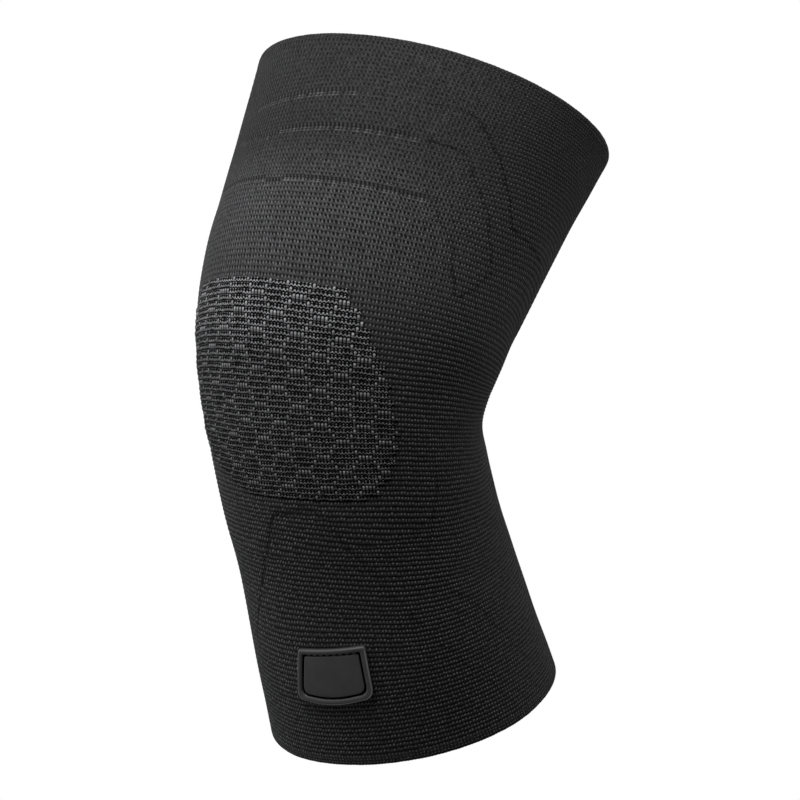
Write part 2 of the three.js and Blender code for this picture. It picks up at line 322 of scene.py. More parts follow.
def ring_faces(rows, columns):
    """Faces of a closed tube wall: rows go round its section and columns go round the leg."""
    row, column = np.meshgrid(np.arange(rows), np.arange(columns), indexing="ij")
    after_row, after_column = (row + 1) % rows, (column + 1) % columns
    corners = [
        row * columns + column,
        row * columns + after_column,
        after_row * columns + after_column,
        after_row * columns + column,
    ]
    return np.stack([corner.ravel() for corner in corners], 1)


def ring_uvs(heights, columns, wales):
    """Wale and course coordinates of the face corners of such a wall."""
    rows = len(heights)
    low = np.repeat(np.asarray(heights, float), columns)
    high = np.repeat(np.roll(np.asarray(heights, float), -1), columns)
    left = np.tile(np.arange(columns) * wales / columns, rows)
    right = np.tile((np.arange(columns) + 1) * wales / columns, rows)
    corners = [(left, low), (right, low), (right, high), (left, high)]
    return np.stack([np.stack(corner, 1) for corner in corners], 1).reshape(-1, 2)


def sleeve_end(sign):
    return sign * (1 - (WELT_HEIGHT + SEAT_GAP) / float(limb_length(sign)))


# Fine lines where the kinds of knit meet, as stations and angles. All but the front one are repeated
# on the inner side.
ZONE_LINES = {
    "line_front": [
        (-0.625, -41), (-0.465, -27.5), (-0.325, -17), (-0.225, -7), (-0.22, 11.5), (-0.24, 16),
        (-0.295, 22), (-0.345, 26.5), (-0.41, 30.5), (-0.465, 35), (-0.54, 40.5), (-0.62, 46),
        (-0.71, 54), (-0.83, 66), (-0.9, 71),
    ],
    "line_shin": [
        (-0.175, 66), (-0.235, 65.5), (-0.3, 60.5), (-0.38, 56), (-0.455, 55.5), (-0.52, 60),
        (-0.6, 70), (-0.715, 79), (-0.81, 87.5), (-0.9, 96),
    ],
    "line_thigh_a": [
        (0.624, 35), (0.64, 40.5), (0.645, 46), (0.652, 50), (0.612, 54), (0.57, 59), (0.516, 66.5),
        (0.455, 72), (0.385, 79), (0.3, 74), (0.24, 67),
    ],
    "line_thigh_b": [(0.47, 46), (0.415, 51.5), (0.37, 59), (0.325, 61), (0.27, 65.5), (0.24, 67)],
    "line_thigh_c": [
        (0.756, 31), (0.776, 36), (0.79, 42), (0.788, 46.5), (0.774, 50.5), (0.728, 56.5),
        (0.7, 61), (0.65, 66.5), (0.605, 72), (0.53, 78), (0.545, 87),
        (0.555, 101.5), (0.53, 108), (0.46, 112),
    ],
}

# How clear a line is at its start and further along
LINE_STRENGTH = {"line_front": (1.5, 0.5), "line_shin": (0.6, 0.6)}
USUAL_STRENGTH = (1.0, 1.0)


def line_distance(station, angle, places):
    """Signed distance from a line and length along it, both in millimetres on the unrolled sleeve."""
    flat_x = np.radians(angle) * KNEE_RADIUS
    flat_y = station * THIGH_LENGTH
    line = np.array([(math.radians(a) * KNEE_RADIUS, s * THIGH_LENGTH) for s, a in places])
    best = np.full(flat_x.shape, np.inf)
    signed = np.zeros_like(best)
    along = np.zeros_like(best)
    start = 0.0
    for spot in range(len(line) - 1):
        step = line[spot + 1] - line[spot]
        length = float(np.hypot(*step))
        ahead = step / length
        x, y = flat_x - line[spot][0], flat_y - line[spot][1]
        t = x * ahead[0] + y * ahead[1]
        low = 0.0 if spot else -FAR
        high = length if spot < len(line) - 2 else FAR
        inside = np.clip(t, low, high)
        across = x * ahead[1] - y * ahead[0]
        distance = np.hypot(x - ahead[0] * inside, y - ahead[1] * inside)
        nearer = distance < best
        best = np.where(nearer, distance, best)
        signed = np.where(nearer, np.sign(across) * distance, signed)
        along = np.where(nearer, start + inside, along)
        start += length
    return np.stack([signed, along, np.full_like(signed, start)], -1)


def density(course, angle):
    """How close the knit is: 0 where it is open and ribbed, 1 on the front of the thigh."""
    outer = smoothstep(np.abs(wrap_degrees(angle)), *OUTER_ANGLES)
    return smoothstep(course, *CLOSE_COURSES) * (1 - OUTER_OPENING * outer)


def crease(course, angle):
    """Painted shade: a darker patch in the fold where the knit gathers at the back of the knee."""
    gathered = np.exp(-(((course - CREASE_COURSE) / CREASE_WIDTH) ** 2))
    return gathered * smoothstep(np.abs(wrap_degrees(angle)), *CREASE_ANGLES)


def rib_height(course, angle):
    """How far the ribbed outside stands proud: a rounded ridge for each course."""
    ridge = np.array(RIB_SHAPE)[np.round(course * RIB_ROWS).astype(int) % RIB_ROWS]
    depth = np.clip(course_pitch(course, angle) / USUAL_PITCH, *PITCH_RANGE)
    depth = depth * (1 - CLOSE_FLATTENING * density(course, angle))
    return (RIB_RIDGE + RIB_VALLEY) * depth * ridge - RIB_VALLEY * depth


UNEVENNESS = 0.04
# Waves round the leg: how many, turn for each course and start
UNEVEN_WAVES = [(2, 0.11, 0.4), (3, -0.07, 2.1), (5, 0.19, 4.4), (7, -0.23, 1.2), (11, 0.41, 5.2)]


def unevenness(course, angle):
    """The slight waviness of hand-stretched knit, the same all round the leg."""
    total = 0
    for count, turn, start in UNEVEN_WAVES:
        total = total + np.sin(np.radians(angle) * count + course * turn + start)
    return total * UNEVENNESS


def sleeve_courses():
    """First and last whole course of the tube, which ends short of the welts."""
    courses = np.linspace(LOWEST_COURSE, HIGHEST_COURSE, COURSE_STEPS)
    front = read_table(COURSES, "front", courses)
    low, high = np.interp([sleeve_end(-1), sleeve_end(1)], front, courses)
    return float(np.ceil(low)), float(np.floor(high))


def make_sleeve():
    low, high = sleeve_courses()
    outside = np.arange(low * RIB_ROWS, high * RIB_ROWS + 1) / RIB_ROWS
    inside = np.linspace(high, low, LINING_ROWS)
    courses = np.concatenate([outside, inside])
    angles = np.arange(SLEEVE_COLUMNS) * 360.0 / SLEEVE_COLUMNS - 180.0
    course, angle = np.meshgrid(courses, angles, indexing="ij")
    station = course_station(course, angle)
    # The last course on each side is moved out to the end of the tube, and its neighbours with it
    for sign, end in ((-1, low), (1, high)):
        shift = sleeve_end(sign) - course_station(np.full_like(angle, end), angle)
        station = station + shift * np.clip(1 - np.abs(course - end) / SHIFTED_COURSES, 0, 1)
    outer = np.arange(len(courses)) < len(outside)
    from_end = np.clip(np.minimum(course - low, high - course), 0, 1)
    ribs = rib_height(course, angle) * from_end + unevenness(course, angle)
    proud = np.where(outer[:, None], ribs, -WALL)
    points = surface_point(station, angle, proud)
    attributes = {}
    for key, places in ZONE_LINES.items():
        side = angle if key == "line_front" else np.abs(angle)
        attributes[key] = line_distance(station, side, places).reshape(-1, 3)
    attributes["inner"] = np.repeat(np.where(outer, 0.0, 1.0), SLEEVE_COLUMNS)
    attributes["dense"] = density(course, angle).ravel()
    # Where shade is painted into the fold at the back of the knee
    attributes["crease"] = crease(course, angle).ravel()
    return make_mesh(
        "sleeve_knit_tube",
        points,
        ring_faces(len(courses), SLEEVE_COLUMNS),
        ring_uvs(courses, SLEEVE_COLUMNS, WALES),
        attributes,
    )


# Turned edges: two more ribs, rounded over at the rim
WELT_COLUMNS = 1050
WELT_RIBS = 2
WELT_ROUND_POINTS = 9
WELT_INSIDE_POINTS = 3
WELT_STITCH_BUMP = 0.12
WELT_RAGGED_WAVES = (17, 29, 53, 71)
WELT_RAGGED_DEPTH = 0.02
WELT_SET_BACK = 0.06
WELT_ROUNDING = (0.5, 1.5)
WELT_DENSITY = {1: 0.8, -1: 0.2}
WELT_OUTSIDE = 0.06
WELT_GROOVE = 0.2
WELT_LAP = 0.45
WELT_INSIDE = 0.03


def make_welt(name, sign):
    low, high = sleeve_courses()
    first = high if sign > 0 else low
    length = float(limb_length(sign))
    angles = np.arange(WELT_COLUMNS) * 360.0 / WELT_COLUMNS - 180.0
    stitch = np.abs(np.sin(np.radians(angles) * WALES / 2))
    thick = WALL + WELT_OUTSIDE + WELT_INSIDE
    round_radius = thick / 2
    face = WELT_HEIGHT - round_radius
    profile = []
    steps = WELT_RIBS * RIB_ROWS
    for step in range(steps + 1):
        share = step / steps
        ridge = 1 - abs(2 * (share * WELT_RIBS % 1) - 1) ** 3
        out = WELT_OUTSIDE - WELT_GROOVE * (1 - ridge) * (share > 0)
        profile.append((share * (face + WELT_LAP) - WELT_LAP, out, share * WELT_RIBS))
    for step in range(1, WELT_ROUND_POINTS):
        turn = math.pi * step / WELT_ROUND_POINTS
        out = WELT_OUTSIDE - round_radius + round_radius * math.cos(turn)
        profile.append((face + round_radius * math.sin(turn), out, WELT_RIBS + step / WELT_ROUND_POINTS))
    for step in range(WELT_INSIDE_POINTS):
        share = step / (WELT_INSIDE_POINTS - 1)
        profile.append((face * (1 - share) - WELT_LAP, WELT_OUTSIDE - thick, WELT_RIBS + 1 + share))
    height, proud, rib = np.array(profile).T
    height, proud = height[:, None], proud[:, None]
    before, width = WELT_ROUNDING
    rounded = np.sin(np.clip((rib - WELT_RIBS + before) / width, 0, 1) * math.pi)[:, None]
    ragged = sum(np.sin(np.radians(angles) * wave + wave) for wave in WELT_RAGGED_WAVES) * WELT_RAGGED_DEPTH
    height = height + rounded * (WELT_STITCH_BUMP * (stitch - 1) + ragged - WELT_SET_BACK)
    proud = proud + unevenness(first, angles) * np.ones_like(height)
    station = np.clip(sign * (1 - (WELT_HEIGHT - height) / length), -1, 1)
    points = surface_point(station, np.broadcast_to(angles, station.shape), proud)
    faces = ring_faces(len(profile), WELT_COLUMNS)
    uvs = ring_uvs(first + sign * rib, WELT_COLUMNS, WALES).reshape(-1, 4, 2)
    if sign < 0:
        faces, uvs = faces[:, ::-1], uvs[:, ::-1]
    dense = np.full(points.size // 3, WELT_DENSITY[sign])
    return make_mesh(name, points, faces, uvs.reshape(-1, 2), {"dense": dense})


# Materials
class Graph:
    """Short way to write node trees: each call adds a node and returns its output socket."""

    def __init__(self, tree):
        self.tree = tree

    def link(self, value, socket):
        if isinstance(value, bpy.types.NodeSocket):
            self.tree.links.new(value, socket)
        else:
            socket.default_value = value

    def node(self, kind, values=(), inputs=None, **settings):
        """New node with its settings, and values for its first inputs or for those named."""
        node = self.tree.nodes.new("ShaderNode" + kind)
        for key, setting in settings.items():
            setattr(node, key, setting)
        for value, place in zip(values, inputs or range(len(values))):
            self.link(value, node.inputs[place])
        return node

    def math(self, operation, *values, clamp=False):
        return self.node("Math", values, operation=operation, use_clamp=clamp).outputs[0]

    def times(self, first, second, clamp=False):
        return self.math("MULTIPLY", first, second, clamp=clamp)

    def plus(self, first, second):
        return self.math("ADD", first, second)

    def minus(self, first, second):
        return self.math("SUBTRACT", first, second)

    def rest(self, value):
        """What is left of 1."""
        return self.minus(1.0, value)

    def scaled(self, value, factor, added, clamp=False):
        return self.math("MULTIPLY_ADD", value, factor, added, clamp=clamp)

    def span(self, value, low, high):
        """A value from 0 to 1 turned into low to high."""
        return self.scaled(value, high - low, low)

    def spread(self, value, reach):
        """A value from 0 to 1 turned into one that goes as far below 0 as above it."""
        return self.span(value, -reach, reach)

    def whole(self, value):
        return self.math("FLOOR", value)

    def part(self, value):
        return self.math("FRACT", value)

    def ramp(self, value, low, high):
        """0 at low, 1 at high and smooth between."""
        return self.node("MapRange", (value, low, high), interpolation_type="SMOOTHSTEP").outputs[0]

    def mix(self, share, first, second):
        return self.node("Mix", (share, first, second), (0, 6, 7), data_type="RGBA").outputs[2]

    def blend(self, share, first, second):
        return self.node("Mix", (share, first, second), (0, 2, 3), data_type="FLOAT").outputs[0]

    def split(self, vector):
        return tuple(self.node("SeparateXYZ", (vector,)).outputs)

    def point(self, x, y, z=0.0):
        return self.node("CombineXYZ", (x, y, z)).outputs[0]

    def uv(self):
        return self.split(self.node("UVMap", uv_map="Knit").outputs[0])[:2]

    def attribute(self, name, output="Fac"):
        return self.node("Attribute", attribute_name=name).outputs[output]

    def random(self, vector, output="Value"):
        return self.node("TexWhiteNoise", (vector,), ("Vector",), noise_dimensions="3D").outputs[output]

    def randoms(self, vector):
        """Three random numbers for each place."""
        return self.split(self.random(vector, "Color"))

    def noise(self, vector, scale, detail=2.0):
        return self.node("TexNoise", (vector, scale, detail), ("Vector", "Scale", "Detail")).outputs["Fac"]

    def object_space(self):
        return self.node("TexCoord").outputs["Object"]

    def bump(self, height, distance, strength=1.0):
        inputs = ("Height", "Distance", "Strength")
        return self.node("Bump", (height, distance, strength), inputs).outputs[0]

    def near(self, value, middle, full, gone):
        """1 within the distance full of the middle, 0 beyond the distance gone."""
        away = self.math("ABSOLUTE", self.minus(value, middle))
        return self.rest(self.ramp(away, full, gone))

    def spot(self, across, up, part):
        """1 on a part of a stitch, which is given by its extent across and its extent up."""
        return self.times(self.near(across, *part[0]), self.near(up, *part[1]))


def new_material(name):
    material = bpy.data.materials.new(name)
    material.use_nodes = True
    material.node_tree.nodes.clear()
    g = Graph(material.node_tree)
    shader = g.node("BsdfPrincipled")
    g.node("OutputMaterial", (shader.outputs["BSDF"],), ("Surface",))
    return material, g, shader


def fill(shader, values):
    for key, value in values.items():
        shader.inputs[key].default_value = value


COOLNESS = 1.03


def grey(value):
    return (value, value, value * COOLNESS, 1.0)


CLOTH = {"Sheen Roughness": 0.45, "Sheen Tint": (0.9, 0.9, 0.92, 1.0)}
FIBRE_SCALE = 1400.0
FIBRE_BUMP = 0.25
CLOTH_BUMP = 0.0003

# The extent of a part of a stitch is its middle, how far round it the part shows in full and where it
# ends, as shares of a wale across and of a course up. Two numbers are a value's low and high.
STITCH_SLANT = 0.7
DENSE_SLANT = -0.5
STITCH_SHIFT = 0.12
STITCH_HEAD = ((0.5, 0.05, 0.32), (0.48, 0.03, 0.27))
STITCH_ACROSS = (0.5, 0.14, 0.32)
HOLE_UP = (0.66, 0.2, 0.42)
ROW_UP = (0.22, 0.08, 0.32)


def stitch_parts(g, u, v, dense):
    """Parts of the stitch at a place: its bright slanted head, the hole beside it and the row that
    it stands on, with two random numbers for each stitch."""
    height = g.part(v)
    slant = g.blend(dense, STITCH_SLANT, DENSE_SLANT)
    slanted = g.minus(u, g.times(g.minus(height, 0.5), slant))
    fleck, sideways, upward = g.randoms(g.point(g.whole(slanted), g.whole(v)))
    across = g.plus(g.part(slanted), g.spread(sideways, STITCH_SHIFT))
    height = g.plus(height, g.spread(upward, STITCH_SHIFT))
    head = g.spot(across, height, STITCH_HEAD)
    hole = g.times(g.rest(g.near(across, *STITCH_ACROSS)), g.near(height, *HOLE_UP))
    return head, hole, g.near(height, *ROW_UP), fleck, sideways


LINE_JAG = 0.55
LINE_WIDTH = (0.3, 1.0)
LINE_END = 3.0
LINE_CHANGE = (55.0, 80.0)
LINE_UNEVEN = (0.35, 1.25)
LINE_SEED = 5.0


def zone_line(g, u, v):
    """Fine dark lines where the kinds of knit meet, stepped from course to course and uneven from
    stitch to stitch."""
    jag = g.spread(g.random(g.point(0.0, g.whole(v))), LINE_JAG)
    uneven = g.random(g.point(g.whole(u), g.whole(v), LINE_SEED))
    line = 0.0
    for key in ZONE_LINES:
        signed, along, length = g.split(g.attribute(key, "Vector"))
        close = g.rest(g.ramp(g.math("ABSOLUTE", g.plus(signed, jag)), *LINE_WIDTH))
        left = g.minus(length, along)
        ends = g.times(g.ramp(along, 0.0, LINE_END), g.ramp(left, 0.0, LINE_END))
        strength = g.blend(g.ramp(along, *LINE_CHANGE), *LINE_STRENGTH.get(key, USUAL_STRENGTH))
        line = g.math("MAXIMUM", g.times(g.times(close, ends), strength), line)
    return g.times(line, g.span(uneven, *LINE_UNEVEN))


# Dashed stripes across the thigh: course, first and last angle, strength
STRIPES = [(57.5, -30, 10, 0.9), (49.5, -40, 32, 1.0), (37.5, -42, 44, 1.0)]
STRIPE_FADE_OUTSIDE = 6
STRIPE_FADE_INSIDE = 2
STRIPE_WANDER = 0.09
STRIPE_SEED = 9.0
SAME_ROW = 0.3
UPPER_THREAD = (0.84, 0.05, 0.22)
LOWER_THREAD = (0.22, 0.05, 0.22)
THREAD_ACROSS = (0.5, 0.08, 0.38)
THREAD_LEVELS = (0.15, 1.0)
THREAD_BROKEN = (-0.1, 1.0)
COMB_STITCH = (0.5, 0.12, 0.34)


def stripes(g, u, v):
    """Bright broken threads between the courses, and the row of tall stitches above each."""
    bright, comb = 0.0, 0.0
    row, height = g.whole(v), g.part(v)
    threads = g.plus(g.near(height, *UPPER_THREAD), g.near(height, *LOWER_THREAD))
    threads = g.times(threads, g.span(g.near(g.part(u), *THREAD_ACROSS), *THREAD_LEVELS))
    leaning = g.part(g.scaled(height, -DENSE_SLANT, u))
    gaps = g.rest(g.near(leaning, *COMB_STITCH))
    for course, first, last, strength in STRIPES:
        wander = g.noise(g.point(g.times(u, STRIPE_WANDER), course), 1.0, 0.0)
        shift = g.math("ROUND", g.spread(wander, 1.0))
        level = g.minus(g.plus(row, shift), math.floor(course))
        start = g.ramp(u, wale_at(first - STRIPE_FADE_OUTSIDE), wale_at(first + STRIPE_FADE_INSIDE))
        stop = g.rest(g.ramp(u, wale_at(last - STRIPE_FADE_INSIDE), wale_at(last + STRIPE_FADE_OUTSIDE)))
        broken = g.random(g.point(g.whole(u), course + STRIPE_SEED))
        shown = g.times(g.times(start, stop), strength)
        lit = g.times(g.span(broken, *THREAD_BROKEN), shown)
        bright = g.scaled(g.math("COMPARE", level, 0.0, SAME_ROW), lit, bright)
        comb = g.scaled(g.math("COMPARE", level, 1.0, SAME_ROW), shown, comb)
    return g.times(bright, threads), g.times(comb, gaps), comb


KNIT_CLOTH = {**CLOTH, "Roughness": 0.85, "Specular IOR Level": 0.2, "Sheen Weight": 0.18}
KNIT_DARK = 0.0035
KNIT_LIGHT = 0.25
HEAD_FLECK = (0.6, 1.7)
HOLE_FLECK = (0.8, 1.3)
HOLE_BUMP = -0.8
# Tones of the open ribbed knit
OPEN_GROUND = 0.04
OPEN_HEAD = 1.25
OPEN_ROW = 0.3
# Tones of the close knit, from below the cuff to the cuff
CUFF_COURSES = (28.0, 52.0)
CLOSE_GROUND = (0.51, 0.43)
CLOSE_HEAD = (0.9, 0.18)
CLOSE_HOLE = (1.0, 0.7)
CLOSE_MOTTLE = (0.65, 1.35)
MOTTLE_PER_STITCH = 2.0
# Shade over the top of the thigh, deeper on the inner side
TOP_COURSES = (39.0, 50.0)
TOP_WALES = (116.0, 172.0)
TOP_SHADE = (-0.46, -0.14)
# How much a zone line darkens the open and the close knit, and how much less the stitch heads
LINE_DROP = (-0.95, -0.65)
LINE_HEAD = (-0.25, -1.0)
LINE_BUMP = -0.5
COMB_SHARE = 0.8
COMB_TONE = 0.36
COMB_GAP = 0.95
THREAD_TONE = 1.1
CLOUD_SCALE = 30.0
CLOUD_TONE = (0.85, 1.15)
FIBRE_TONE = (0.375, 0.985)
# Painted shade in the fold at the back of the knee
CREASE_PAINTED_SHADE = 0.55
# Painted shade over the lining, inside the tube
INSIDE_PAINTED_SHADE = 0.7


def knit_material(name="sleeve_knit", lines=True):
    material, g, shader = new_material(name)
    u, v = g.uv()
    dense = g.attribute("dense")
    head, hole, row, fleck, other_fleck = stitch_parts(g, u, v, dense)
    place = g.object_space()
    fibre = g.noise(place, FIBRE_SCALE)
    mottle = g.random(g.point(*(g.whole(g.times(value, MOTTLE_PER_STITCH)) for value in (u, v))))
    cuff = g.ramp(v, *CUFF_COURSES)
    head = g.times(head, g.span(g.times(fleck, fleck), *HEAD_FLECK))
    open_tone = g.scaled(row, OPEN_ROW, g.scaled(head, OPEN_HEAD, OPEN_GROUND))
    depth = g.times(g.span(other_fleck, *HOLE_FLECK), g.span(cuff, *CLOSE_HOLE))
    hole = g.times(hole, depth, clamp=True)
    close_tone = g.scaled(head, g.span(cuff, *CLOSE_HEAD), g.span(cuff, *CLOSE_GROUND))
    close_tone = g.times(close_tone, g.rest(hole))
    close_tone = g.times(close_tone, g.span(mottle, *CLOSE_MOTTLE))
    top_shade = g.blend(g.ramp(u, *TOP_WALES), *TOP_SHADE)
    close_tone = g.times(close_tone, g.scaled(g.ramp(v, *TOP_COURSES), top_shade, 1.0))
    tone = g.blend(dense, open_tone, close_tone)
    height = g.scaled(hole, g.times(dense, HOLE_BUMP), head)
    if lines:
        line = zone_line(g, u, v)
        bright, gaps, comb = stripes(g, u, v)
        beside_head = g.scaled(head, g.blend(dense, *LINE_HEAD), 1.0)
        drop = g.times(line, g.blend(dense, *LINE_DROP))
        tone = g.times(tone, g.scaled(beside_head, drop, 1.0, clamp=True))
        tone = g.blend(g.times(comb, COMB_SHARE, clamp=True), tone, COMB_TONE)
        tone = g.times(tone, g.scaled(gaps, -COMB_GAP, 1.0))
        tone = g.scaled(bright, THREAD_TONE, tone)
        height = g.scaled(line, LINE_BUMP, height)
    tone = g.times(tone, g.span(fibre, *FIBRE_TONE))
    tone = g.times(tone, g.span(g.noise(place, CLOUD_SCALE), *CLOUD_TONE))
    # Painted shade in the fold at the back of the knee
    tone = g.times(tone, g.span(g.attribute("crease"), 1.0, CREASE_PAINTED_SHADE))
    # The lining is painted darker, as shade inside the tube
    tone = g.times(tone, g.span(g.attribute("inner"), 1.0, INSIDE_PAINTED_SHADE), clamp=True)
    fill(shader, KNIT_CLOTH)
    g.link(g.mix(tone, grey(KNIT_DARK), grey(KNIT_LIGHT)), shader.inputs["Base Color"])
    g.link(g.bump(g.scaled(fibre, FIBRE_BUMP, height), CLOTH_BUMP), shader.inputs["Normal"])
    return material


# Raised panel over the kneecap, knitted in honeycomb cells. A row of tall stitches closes each cell
# below, and single tall stitches step up along its sides. Cells are counted in wales and courses.
PANEL_LOWEST = -19
PANEL_HIGHEST = 19
PANEL_POINTS = 4
# Heights above the tube, in millimetres
PANEL_FLOOR = 0.12
PANEL_THINNEST = 0.06
PANEL_BASE = 0.5
PANEL_EDGE_SHARE = 0.6
PANEL_EDGE_DEG = 3
PANEL_EDGE_COURSES = 1.2
PANEL_HEAD_RISE = 0.12
PANEL_BAR_RISE = 0.38
PANEL_BAR_FOOT = 0.7
PANEL_GROOVE_DEPTH = 0.05
# Brightness: at the foot, then what each band of courses adds, less towards the outer side. The rise up the
# panel is partly the knit's own look and partly painted light from the upper left, and the fall towards the
# outer side is painted shade
PANEL_TONE = 0.58
PANEL_TONE_BANDS = [(0.08, -12, 4), (0.42, 5, 14.5)]
PANEL_SHADE_ANGLES = (5, 45)
PANEL_PAINTED_SHADE = 0.3
PANEL_RAGGED_DEG = 1.2
PANEL_RAGGED_TURN = 2.1
TINY = 1e-6
PANEL_INNER = {
    "at": [-19, -17, -14.5, -10.5, -5.5, 0, 5.5, 11, 16, 19.5],
    "angle": [-16, -26, -38, -51, -60, -64, -62, -57, -48, -38],
}
PANEL_OUTER = {
    "at": [-19, -17, -12.5, -7.4, -3.2, 2.3, 7.5, 12.3, 17, 19.5],
    "angle": [34, 40, 46.5, 48.8, 48, 45.8, 41.2, 36, 29.2, 24],
}
CELL_WALES = 6
CELL_COURSES = 6
CELL_FLAT = 4
CELL_FIRST_WALE = 137
CELL_FIRST_COURSE = 4


def tall_stitches(wale, course):
    """1 for the tall stitches of the cells' edges and 0 for the stitches inside the cells."""
    place = wale - CELL_FIRST_WALE
    column = np.floor(place / CELL_WALES)
    spot = place - column * CELL_WALES
    level = np.mod(course - CELL_FIRST_COURSE - CELL_COURSES / 2 * np.mod(column, 2), CELL_COURSES)
    step = spot - CELL_FLAT + 1
    flat = (spot < CELL_FLAT) & (level == 0)
    side = (spot >= CELL_FLAT) & ((level == step) | (level == CELL_COURSES - step))
    return np.where(flat | side, 1.0, 0.0)


def make_panel():
    first_wale = math.floor(wale_at(min(PANEL_INNER["angle"])))
    last_wale = math.ceil(wale_at(max(PANEL_OUTER["angle"])))
    courses = np.arange(PANEL_LOWEST * PANEL_POINTS, PANEL_HIGHEST * PANEL_POINTS + 1) / PANEL_POINTS
    wales = np.arange(first_wale * PANEL_POINTS, last_wale * PANEL_POINTS + 1) / PANEL_POINTS
    course, wale = np.meshgrid(courses, wales, indexing="ij")
    angle = angle_at(wale)
    station = course_station(course, angle)
    whole_course = np.floor(course + TINY)
    whole_wale = np.floor(wale + TINY)
    up = course - whole_course
    across = np.abs(2 * (wale - whole_wale) - 1)
    tall = tall_stitches(whole_wale, whole_course)
    # Painted light and shade: the rise up the panel is partly the knit's own look and partly painted light,
    # and the fall towards the outer side is painted shade
    bands = sum(added * smoothstep(course, low, high) for added, low, high in PANEL_TONE_BANDS)
    tone = PANEL_TONE + bands * (1 - PANEL_PAINTED_SHADE * smoothstep(angle, *PANEL_SHADE_ANGLES))
    head = (1 - across) * (1 - np.abs(2 * up - 1))
    bar = tall * (1 - across**2) * (PANEL_BAR_FOOT + (1 - PANEL_BAR_FOOT) * up)
    groove = (1 - tall) * (up == 0)
    centre = angle_at(whole_wale + 0.5)
    inner = read_table(PANEL_INNER, "angle", whole_course + 0.5)
    ragged = PANEL_RAGGED_DEG * np.cos(whole_course * PANEL_RAGGED_TURN)
    outer = read_table(PANEL_OUTER, "angle", whole_course + 0.5) + ragged
    edge = np.minimum(
        smoothstep(np.minimum(angle - inner, outer - angle), 0, PANEL_EDGE_DEG),
        smoothstep(np.minimum(course - PANEL_LOWEST, PANEL_HIGHEST - course), 0, PANEL_EDGE_COURSES),
    )
    height = PANEL_BASE * (PANEL_EDGE_SHARE + (1 - PANEL_EDGE_SHARE) * edge)
    height = height + head * PANEL_HEAD_RISE + bar * PANEL_BAR_RISE - groove * PANEL_GROOVE_DEPTH
    height = np.maximum(height, PANEL_FLOOR + PANEL_THINNEST)
    wavy = unevenness(course, angle)
    top = surface_point(station, angle, height + wavy)
    bottom = surface_point(station, angle, PANEL_FLOOR + wavy)
    inside = ((centre > inner) & (centre < outer))[:-1, :-1]
    return shell_piece("kneecap_panel", top, bottom, inside, wale, course, {"tone": tone, "tall": tall})


def shell_piece(name, top, bottom, inside, wale, course, attributes):
    """Closed shell of the grid's cells that lie inside, with walls round their outline."""
    rows, columns = course.shape
    index = np.arange(rows * columns).reshape(rows, columns)
    row, column = np.nonzero(inside)
    a, b = index[row, column], index[row, column + 1]
    c, d = index[row + 1, column + 1], index[row + 1, column]
    size = rows * columns
    faces = [np.stack([a, b, c, d], 1), np.stack([d, c, b, a], 1) + size]
    padded = np.pad(inside, 1)
    sides = (((-1, 0), a, b), ((1, 0), c, d), ((0, -1), d, a), ((0, 1), b, c))
    for shift, first, second in sides:
        open_side = ~padded[row + 1 + shift[0], column + 1 + shift[1]]
        here, there = first[open_side], second[open_side]
        faces.append(np.stack([here, here + size, there + size, there], 1))
    faces = np.concatenate(faces)
    points = np.concatenate([top.reshape(-1, 3), bottom.reshape(-1, 3)])
    used = np.unique(faces)
    renumber = np.zeros(len(points), int)
    renumber[used] = np.arange(len(used))
    uv = np.concatenate([np.stack([wale.ravel(), course.ravel()], 1)] * 2)
    kept = {key: np.concatenate([values.ravel()] * 2)[used] for key, values in attributes.items()}
    return make_mesh(name, points[used], renumber[faces], uv[faces.ravel()], kept)


PANEL_CLOTH = {**CLOTH, "Roughness": 0.75, "Specular IOR Level": 0.08, "Sheen Weight": 0.02}
PANEL_DARK = 0.0015
PANEL_LIGHT = 0.7
PANEL_FIBRE = (0.55, 1.45)
# Small stitches: a head and a stem, and the sagging thread that links them across
SMALL_SHIFT_ACROSS = 0.1
SMALL_SHIFT_UP = 0.08
SMALL_HEAD = ((0.5, 0.06, 0.32), (0.48, 0.03, 0.19))
SMALL_HEAD_TONE = (0.5, 1.3)
SMALL_STEM = ((0.5, 0.05, 0.28), (0.92, 0.03, 0.17))
SMALL_STEM_TONE = (0.1, 0.9)
SMALL_THREAD = (0.44, 0.03, 0.14)
SMALL_THREAD_TONE = 0.62
THREAD_SAG = 0.4
# Tall stitches: a bar that is brighter at its crown
TALL_BAR = ((0.5, 0.18, 0.44), (0.53, 0.28, 0.5))
TALL_CROWN = (0.74, 0.06, 0.26)
TALL_TONE = (0.42, 0.76)
TALL_FROM = (0.35, 0.6)
STITCH_TONE = (0.7, 1.3)


